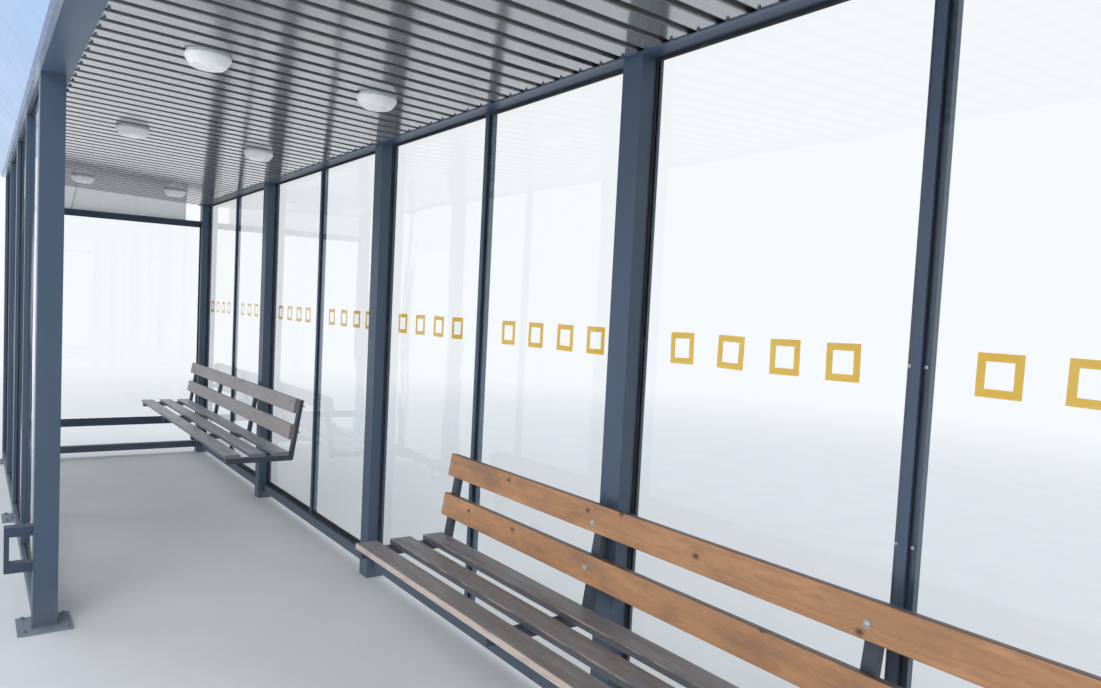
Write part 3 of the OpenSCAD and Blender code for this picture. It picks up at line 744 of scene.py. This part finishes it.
def bench(side, frames, back_wood, seat_wood, seed):
    """The boards of one bench, the carriers under its seat and all its bolts and nuts."""
    free_first = frames[0] > 0
    x0 = frames[0] - TUBE_W / 2
    length = frames[-1] + TUBE_W / 2 - x0
    seat_lines = [SEAT_FRONT + i * SEAT_STEP + SLAT_W / 2 for i in range(SEAT_SLATS)]
    bm = bmesh.new()
    for i, y in enumerate(seat_lines):
        board(bm, (x0, y, SEAT_TOP - SEAT_BOARD_T / 2), length, (0, 1, 0), (0, 0, 1),
              SLAT_W, SEAT_BOARD_T, seed + i)
    finish_piece(f"bench_{side}_seat_boards", bm, seat_wood,
                 replaces=(f"bench_{side}_seat",), smooth_angle=BOARD_SMOOTH)
    bm = bmesh.new()
    for x in frames:
        strip(bm, (x - TUBE_W / 2, SEAT_FRONT + CARRIER_INSET, SEAT_TOP - SLAT_T),
              (x + TUBE_W / 2, SEAT_BACK - CARRIER_INSET, SEAT_TOP - SEAT_BOARD_T), CARRIER_EASE)
    finish_piece(f"bench_{side}_carriers", bm, BENCH_STEEL)
    bm = bmesh.new()
    for i in range(BACK_SLATS):
        z = REST_Z + i * BACK_STEP
        centre = Vector((x0, rest_y(z), z)) + UP_SLAT * (SLAT_W / 2) + OUT_SLAT * (SLAT_T / 2)
        board(bm, centre, length, UP_SLAT, OUT_SLAT, SLAT_W, SLAT_T, seed + BACK_SEED + i)
    finish_piece(f"bench_{side}_back_boards", bm, back_wood,
                 replaces=(f"bench_{side}_back",), smooth_angle=BOARD_SMOOTH)
    bolts = bmesh.new()
    nuts = bmesh.new()
    rng = random.Random(seed)
    for k, x in enumerate(frames):
        from_free = k if free_first else len(frames) - 1 - k
        for i, up in enumerate(BOLT_UP[from_free]):
            z = REST_Z + i * BACK_STEP
            foot = Vector((x, rest_y(z), z)) + UP_SLAT * up
            dome_bolt(bolts, foot + OUT_SLAT * SLAT_T, OUT_SLAT)
            tail = Vector((x, rest_y(foot.z) + TUBE_D, foot.z))
            hex_nut(nuts, tail, -OUT_SLAT, turn=rng.uniform(0, 1))
        for y in seat_lines:
            dome_bolt(nuts, (x, y, SEAT_TOP - SLAT_T - TUBE_D), (0, 0, -1), UNDER_BOLT_R, UNDER_BOLT_H)
    finish_piece(f"bench_{side}_bolts", bolts, ZINC, smooth_angle=BOLT_SMOOTH)
    finish_piece(f"bench_{side}_nuts", nuts, ZINC_DULL, smooth_angle=BOLT_SMOOTH)


bench("right", RIGHT_FRAMES, BACK_WOOD, SEAT_WOOD, seed=11)
bench("left", LEFT_FRAMES, GREY_WOOD, SEAT_GREY, seed=41)


# Glazing: the panes, slim gaskets inside them, rubber seals outside, and the bolts of one mullion

BACK_PANES = 8
FRONT_PANES = 4
GASKET_W = 0.006
GASKET_D = 0.009
HEAD_H = 0.010
FOOT_H = 0.030
FOOT_D = 0.006
BAR_SEAL = 0.002
SEAL_W = 0.008
SEAL_D = 0.004
PANE_CLEAR = 0.0003
PANE_JOINT = 0.004
PANE_EASE = 0.001
BOLTED_LINE = 7
GLASS_BOLT_LEVELS = (1.017, 1.470)
GLASS_BOLT_SIDE = 0.0215
GLASS_BOLT_R = 0.0038
GLASS_BOLT_H = 0.0026


def pane(node, low, high):
    """A pane with eased edges, a hair clear of what holds it, so that what lies behind shows through."""
    if node not in panes:
        panes[node] = bmesh.new()
    clear = Vector((PANE_CLEAR, PANE_CLEAR, PANE_CLEAR))
    strip(panes[node], Vector(low) + clear, Vector(high) - clear, PANE_EASE)


def ring_on_pane(bm, u0, u1, v0, v1, width, near, far, place):
    """A rectangular ring between two depths; place turns (u, v, depth) into a point."""
    outline = ((u0, v0), (u1, v0), (u1, v1), (u0, v1))
    opening = ((u0 + width, v0 + width), (u1 - width, v0 + width),
               (u1 - width, v1 - width), (u0 + width, v1 - width))
    corners = []
    for depth in (near, far):
        for points in (outline, opening):
            corners.append([bm.verts.new(place(u, v, depth)) for u, v in points])
    outer_near, inner_near, outer_far, inner_far = corners
    bridge(bm, outer_near, inner_near)
    bridge(bm, outer_far, inner_far)
    bridge(bm, inner_near, inner_far)
    bridge(bm, outer_near, outer_far)


def on_end(u, v, depth):
    return Vector((depth, u, v))


# Name, outer face, way in, height of the clear opening and count of panes
WALLS = (("back", BACK_OUT, -1, BACK_CLEAR, BACK_PANES), ("front", FRONT_OUT, 1, FRONT_CLEAR, FRONT_PANES))
panes = {}
gaskets, seals, glass_bolts = bmesh.new(), bmesh.new(), bmesh.new()
for wall, out, inward, top, count in WALLS:
    inner = out + inward * (GLASS_INSET + GLASS_HALF)
    outer = out + inward * (GLASS_INSET - GLASS_HALF)
    for k in range(count):
        post_first = k % 2 == 0
        x0 = line_x(k) + (POST_HALF if post_first else BAR_HALF)
        x1 = line_x(k + 1) - (BAR_HALF if post_first else POST_HALF)
        post_x, bar_x, step = (x0, x1, 1) if post_first else (x1, x0, -1)
        foot, head = SILL_TOP + FOOT_H, top - HEAD_H
        gasket_far = inner + inward * GASKET_D
        strip(gaskets, (post_x, inner, foot), (post_x + step * GASKET_W, gasket_far, head))
        strip(gaskets, (bar_x - step * BAR_SEAL, inner, foot), (bar_x, inner + inward * BAR_SEAL, head))
        strip(gaskets, (x0, inner, head), (x1, gasket_far, top))
        strip(gaskets, (x0, inner, SILL_TOP), (x1, inner + inward * FOOT_D, foot))
        a = line_x(k) + (POST_HALF if post_first else TUBE_HALF)
        b = line_x(k + 1) - (TUBE_HALF if post_first else POST_HALF)
        seal_far = outer - inward * SEAL_D
        strip(seals, (post_x, outer, SILL_TOP), (post_x + step * SEAL_W, seal_far, top))
        strip(seals, (a, outer, SILL_TOP), (b, seal_far, SILL_TOP + SEAL_W))
        strip(seals, (a, outer, top - SEAL_W), (b, seal_far, top))
        a = line_x(k) + (POST_HALF if post_first else PANE_JOINT / 2)
        b = line_x(k + 1) - (PANE_JOINT / 2 if post_first else POST_HALF)
        pane(f"glass_{wall}_{k // 2 + 1}", (a, min(inner, outer), SILL_TOP), (b, max(inner, outer), top))
for side, end in ((-1, "left"), (1, "right")):
    glass_x = side * (HALF_LENGTH + POST_HALF - GLASS_INSET)
    inner = glass_x - side * GLASS_HALF
    outer = glass_x + side * GLASS_HALF
    ring_on_pane(gaskets, FRONT_IN, BACK_IN, END_GLASS_LOW, END_GLASS_HIGH, GASKET_W,
                 inner, inner - side * GASKET_D, on_end)
    ring_on_pane(seals, FRONT_IN, BACK_IN, END_GLASS_LOW, END_GLASS_HIGH, SEAL_W,
                 outer, outer + side * SEAL_D, on_end)
    pane(f"glass_end_{end}", (glass_x - GLASS_HALF, FRONT_IN, END_GLASS_LOW),
         (glass_x + GLASS_HALF, BACK_IN, END_GLASS_HIGH))
for node, bm in panes.items():
    finish_piece(node.replace("glass", "panes"), bm, GLASS, replaces=(node,))
for z in GLASS_BOLT_LEVELS:
    for side in (-1, 1):
        spot = (line_x(BOLTED_LINE) + side * GLASS_BOLT_SIDE, BACK_OUT - GLASS_INSET - GLASS_HALF, z)
        dome_bolt(glass_bolts, spot, (0, -1, 0), GLASS_BOLT_R, GLASS_BOLT_H)
finish_piece("glazing_gaskets", gaskets, RUBBER)
finish_piece("glazing_seals", seals, RUBBER)
finish_piece("glazing_bolts", glass_bolts, ZINC, smooth_angle=BOLT_SMOOTH)


# Yellow square frames on the outside of the back panes

SQUARE = 0.104
SQUARE_BAND = 0.020
SQUARE_Z = 1.464
SQUARE_TILT = 0.02
FILM_CLEAR = 0.0002
FILM_OUT = 0.0004
# Places of the four squares from the middle of their pane; the last pane differs
SHIFTS = (-0.287, -0.080, 0.122, 0.312)
LAST_SHIFTS = (-0.334, -0.142, 0.055, 0.255)
squares = bmesh.new()
outer = BACK_OUT - GLASS_INSET + GLASS_HALF
for k in range(BACK_PANES):
    centre = line_x(k) + HALF_BAY / 2
    for shift in (LAST_SHIFTS if k == BACK_PANES - 1 else SHIFTS):
        tilt = random.Random(k * 10 + round(shift * 100)).uniform(-SQUARE_TILT, SQUARE_TILT)
        turn = Matrix.Rotation(tilt, 3, "Y")
        mid = Vector((centre + shift, 0, SQUARE_Z))
        ring_on_pane(squares, -SQUARE / 2, SQUARE / 2, -SQUARE / 2, SQUARE / 2, SQUARE_BAND,
                     outer - FILM_CLEAR, outer + FILM_OUT,
                     lambda u, v, d: mid + turn @ Vector((u, 0, v)) + Vector((0, d, 0)))
finish_piece("yellow_squares", squares, YELLOW)


# Lamps: a smooth opal bowl with a clip at each side of its rim

LAMP_LINES = (-3.370, -0.885, 0.885, 3.370)
LAMP_ROWS = (-0.255, 0.455)
LAMP_R = 0.088
LAMP_FLAT_R = 0.059
LAMP_BASE_H = 0.008
LAMP_RIM_H = 0.006
LAMP_H = 0.050
LAMP_EASE_IN = 0.0015
LAMP_EASE_UP = 0.0012
LAMP_STEPS = 14
LAMP_SEGMENTS = 64
CLIP_T = 0.003
CLIP_W = 0.014
CLIP_EASE = 0.001
CLIP_RUN = 0.012
CLIP_START = 0.0005
domes, clips = bmesh.new(), bmesh.new()
rim_end = LAMP_BASE_H + LAMP_RIM_H
dome_profile = [(0, LAMP_BASE_H), (LAMP_R - LAMP_EASE_IN, LAMP_BASE_H),
                (LAMP_R, LAMP_BASE_H + LAMP_EASE_UP), (LAMP_R, rim_end)]
# The bowl's side runs halfway between a quarter ellipse and a straight cone
for i in range(1, LAMP_STEPS + 1):
    a = math.pi / 2 * i / LAMP_STEPS
    reach = (math.cos(a) + 1 - math.sin(a)) / 2
    dome_profile.append((LAMP_FLAT_R + (LAMP_R - LAMP_FLAT_R) * reach,
                         rim_end + (LAMP_H - rim_end) * math.sin(a)))
dome_profile.append((0, LAMP_H))
for x in LAMP_LINES:
    for y in LAMP_ROWS:
        base = Vector((x, y, ceiling_z(y)))
        lathe(domes, base, CEILING_DOWN, dome_profile, LAMP_SEGMENTS)
        for side in (-1, 1):
            spot = base + Vector((side * (LAMP_R - CLIP_T / 2), 0, 0)) + CEILING_DOWN * CLIP_START
            section = round_rect(CLIP_T, CLIP_W, CLIP_EASE, steps=2)
            sweep(clips, section, spot, spot + CEILING_DOWN * CLIP_RUN, (1, 0, 0), (0, 1, 0))
finish_piece("lamp_shells", domes, LAMP_SHELL,
             replaces=("lamp_domes",), smooth_angle=LAMP_SMOOTH)
finish_piece("lamp_clips", clips, LAMP_BASE)


# Screws at the ends of the ceiling's ribs, just inside the ledges

SCREW_INSET = 0.0105
SCREW_FROM_GROOVE = 0.031
SCREW_WASHER_R = 0.0065
SCREW_WASHER_T = 0.002
SCREW_SEED = 23
ceiling_screws = bmesh.new()
rng = random.Random(SCREW_SEED)
for i in range(RIB_COUNT):
    x = (i - RIB_COUNT / 2 + 0.5) * RIB + SCREW_FROM_GROOVE
    for y in (BACK_IN - LEDGE_W - SCREW_INSET, FRONT_IN + LEDGE_W + SCREW_INSET):
        sheet_screw(ceiling_screws, (x, y, ceiling_z(y)), CEILING_DOWN,
                    SCREW_WASHER_R, SCREW_WASHER_T, rng.uniform(0, 1))
finish_piece("ceiling_screws", ceiling_screws, STEEL)


# Feet of the front posts: anchor nuts and weld beads

FRONT_POST_LINES = (0, 2, 4, 8)
ANCHOR_SEED = 5
WELD_LEG = 0.006
WELD_HALF = WELD_LEG * 0.5
WELD_CROWN = WELD_LEG * 0.72
WELD_SECTION = [(0, 0), (WELD_LEG, 0), (WELD_CROWN, WELD_HALF), (WELD_HALF, WELD_CROWN), (0, WELD_LEG)]
anchors, welds = bmesh.new(), bmesh.new()
rng = random.Random(ANCHOR_SEED)
for k in FRONT_POST_LINES:
    x, y = line_x(k), FRONT_LINE
    for sx in (-1, 1):
        for sy in (-1, 1):
            hex_nut(anchors, (x + sx * ANCHOR_HALF, y + sy * ANCHOR_HALF, PLATE_T), (0, 0, 1),
                    across=0.019, height=0.008, washer=0.013, stud=0.006, tip=0.004,
                    turn=rng.uniform(0, 1))
    for sx, sy in ((1, 0), (-1, 0), (0, 1), (0, -1)):
        centre = Vector((x + sx * POST_HALF, y + sy * POST_HALF, PLATE_T))
        run = Vector((sy, sx, 0)) * (POST_HALF + WELD_HALF)
        out = Vector((sx, sy, 0))
        sweep(welds, WELD_SECTION, centre - run, centre + run, out, (0, 0, 1))
finish_piece("anchor_nuts", anchors, PLATE_STEEL, smooth_angle=BOLT_SMOOTH)
finish_piece("foot_welds", welds, STEEL)


# Fascia: seals in the joints of the front and end panels

FASCIA_PANELS = 3
FASCIA_LIP = 0.020
FASCIA_RISE = 0.300
FASCIA_LEAN = 0.240
PANEL_JOINT = 0.006
PANEL_SEAL_BACK = 0.003
PANEL_SEAL_FACE = 0.001
PANEL_SEAL_START = 0.003
PANEL_SEAL_END = 0.380
END_SEAL_W = 0.006
END_SEAL_T = 0.0015
END_SEAL_CLEAR = 0.0005
# The end panel's joint from the front line, at the top of the end pane and at the fascia's top
END_JOINT_LOW = 0.445
END_JOINT_HIGH = 0.555
slope = Vector((0, -FASCIA_LEAN, FASCIA_RISE)).normalized()
face_out = Vector((0, -slope.z, slope.y))
left_end = -HALF_LENGTH - POST_HALF
panel_run = (2 * (HALF_LENGTH + POST_HALF) + PANEL_JOINT) / FASCIA_PANELS
panel_seal = [(0, -PANEL_SEAL_BACK), (PANEL_JOINT, -PANEL_SEAL_BACK),
              (PANEL_JOINT, -PANEL_SEAL_FACE), (0, -PANEL_SEAL_FACE)]
trims, end_trims = bmesh.new(), bmesh.new()
for i in range(1, FASCIA_PANELS):
    foot = Vector((left_end + i * panel_run - PANEL_JOINT, FRONT_OUT - FASCIA_LIP, FRONT_CLEAR))
    sweep(trims, panel_seal, foot + slope * PANEL_SEAL_START, foot + slope * PANEL_SEAL_END,
          (1, 0, 0), face_out)
for side in (-1, 1):
    x = side * (HALF_LENGTH + POST_HALF + END_SEAL_CLEAR)
    low = Vector((x, FRONT_LINE + END_JOINT_LOW, END_GLASS_HIGH))
    high = Vector((x, FRONT_LINE + END_JOINT_HIGH, FRONT_CLEAR + FASCIA_RISE))
    thick = side * END_SEAL_T
    sweep(end_trims, [(0, 0), (END_SEAL_W, 0), (END_SEAL_W, thick), (0, thick)], low, high,
          (0, 1, 0), (1, 0, 0))
finish_piece("panel_seals", trims, RUBBER)
finish_piece("end_panel_seals", end_trims, GREY_RUBBER)


# Roof screws along the beams and rafters

ROOF_LOW = 2.550
ROOF_RISE = 0.060
ROOF_T = 0.002
ROOF_SLOPE = math.atan(ROOF_RISE / (BACK_OUT - FRONT_IN))
ROOF_UP = Vector((0, math.sin(ROOF_SLOPE), math.cos(ROOF_SLOPE)))
ROOF_SCREW_ROWS = (BACK_LINE, 0.37, -0.17, FRONT_LINE)
roof_screws = bmesh.new()


def roof_z(y):
    return ROOF_LOW + (BACK_OUT - y) * math.tan(ROOF_SLOPE) + ROOF_T / math.cos(ROOF_SLOPE)


for i in range(-RIB_COUNT // 2, RIB_COUNT // 2 + 1, 2):
    for y in ROOF_SCREW_ROWS:
        sheet_screw(roof_screws, (i * RIB, y, roof_z(y)), ROOF_UP)
finish_piece("roof_screws", roof_screws, ZINC_DULL)


# Floor, light and camera

BACKDROP = (0.945, 0.968, 1.0)
FLOOR_DARK = (0.76, 0.785, 0.815)
FLOOR_PALE = (0.79, 0.815, 0.845)
FLOOR_HALF = 60.0
FLOOR_Z = -0.001
FADE_START = 6.5
FADE_END = 15.0


def plain_stage():
    """A pale floor that fades into the backdrop far from the object."""
    s = Shader("studio_floor")
    grain = s.noise(s.where, 3.0, 4.0)
    s.set(color=s.mix(s.span(grain, 0.3, 0.7), FLOOR_DARK, FLOOR_PALE), rough=0.8)
    distance = s.tree.nodes.new("ShaderNodeVectorMath")
    distance.operation = "LENGTH"
    s.link(s.where, distance.inputs[0])
    path = s.tree.nodes.new("ShaderNodeLightPath")
    seen = s.math("MAXIMUM", path.outputs["Is Camera Ray"], path.outputs["Is Glossy Ray"])
    seen = s.math("MAXIMUM", seen, path.outputs["Is Transmission Ray"])
    far = s.span(distance.outputs["Value"], FADE_START, FADE_END, smooth=True)
    glow = s.tree.nodes.new("ShaderNodeEmission")
    glow.inputs["Color"].default_value = (*BACKDROP, 1.0)
    s.blend_into(s.math("MULTIPLY", far, seen), glow)
    bm = bmesh.new()
    signs = ((-1, -1), (1, -1), (1, 1), (-1, 1))
    bm.faces.new([bm.verts.new((sx * FLOOR_HALF, sy * FLOOR_HALF, FLOOR_Z)) for sx, sy in signs])
    mesh = bpy.data.meshes.new("floor")
    bm.to_mesh(mesh)
    bm.free()
    mesh.materials.append(s.mat)
    floor = bpy.data.objects.new("floor", mesh)
    bpy.context.scene.collection.objects.link(floor)


plain_stage()

scene = bpy.context.scene
scene.view_settings.view_transform = "Standard"
world = bpy.data.worlds.new("studio")
scene.world = world
world.use_nodes = True
tree = world.node_tree
tree.nodes.clear()
world_out = tree.nodes.new("ShaderNodeOutputWorld")
sky = tree.nodes.new("ShaderNodeBackground")
sky.inputs["Color"].default_value = (*BACKDROP, 1.0)
sky.inputs["Strength"].default_value = 1.0
tree.links.new(sky.outputs[0], world_out.inputs[0])


def soft_lamp(name, place, aim, size, power):
    """A wide area lamp that lights the object and is not seen itself; one may aim straight up."""
    data = bpy.data.lights.new(name, "AREA")
    data.shape = "RECTANGLE"
    data.size, data.size_y = size
    data.energy = power
    lamp = bpy.data.objects.new(name, data)
    lamp.location = place
    way = Vector(aim) - Vector(place)
    if abs(way.x) + abs(way.y) < 1e-6:
        lamp.rotation_euler = (math.pi, 0, 0)
    else:
        lamp.rotation_euler = way.to_track_quat("-Z", "Y").to_euler()
    lamp.visible_camera = False
    lamp.visible_glossy = False
    lamp.visible_transmission = False
    scene.collection.objects.link(lamp)


MIDDLE = (0.0, 0.0, 1.0)
soft_lamp("key", (7.0, -6.0, 6.0), aim=MIDDLE, size=(5.0, 3.0), power=230)
soft_lamp("fill", (-5.0, -7.0, 5.0), aim=MIDDLE, size=(5.0, 3.0), power=90)
soft_lamp("low_front", (0.0, -4.2, 0.02), aim=(0.0, -4.2, 1.0), size=(9.0, 5.0), power=150)
soft_lamp("low_back", (0.0, 4.4, 0.02), aim=(0.0, 4.4, 1.0), size=(9.0, 5.0), power=150)

# Camera at the photograph's place, from the solved view
IMAGE_W, IMAGE_H = 1101.0, 688.0
FOCAL_PX = 805.12
CENTRE_PX = (523.21, 356.30)
SENSOR = 36.0
CAMERA_PLACE = (4.2416, -1.0095, 1.5585)
CAMERA_TILT = 86.8382
CAMERA_ROLL = -2.7856
CAMERA_TURN = 55.6000
NEAR_CLIP = 0.3
cam_data = bpy.data.cameras.new("camera")
cam_data.sensor_width = SENSOR
cam_data.lens = FOCAL_PX / IMAGE_W * SENSOR
cam_data.shift_x = (IMAGE_W / 2 - CENTRE_PX[0]) / IMAGE_W
cam_data.shift_y = (CENTRE_PX[1] - IMAGE_H / 2) / IMAGE_W
cam_data.clip_start = NEAR_CLIP
camera = bpy.data.objects.new("camera", cam_data)
camera.location = CAMERA_PLACE
camera.rotation_euler = [math.radians(a) for a in (CAMERA_TILT, CAMERA_ROLL, CAMERA_TURN)]
scene.collection.objects.link(camera)
scene.camera = camera
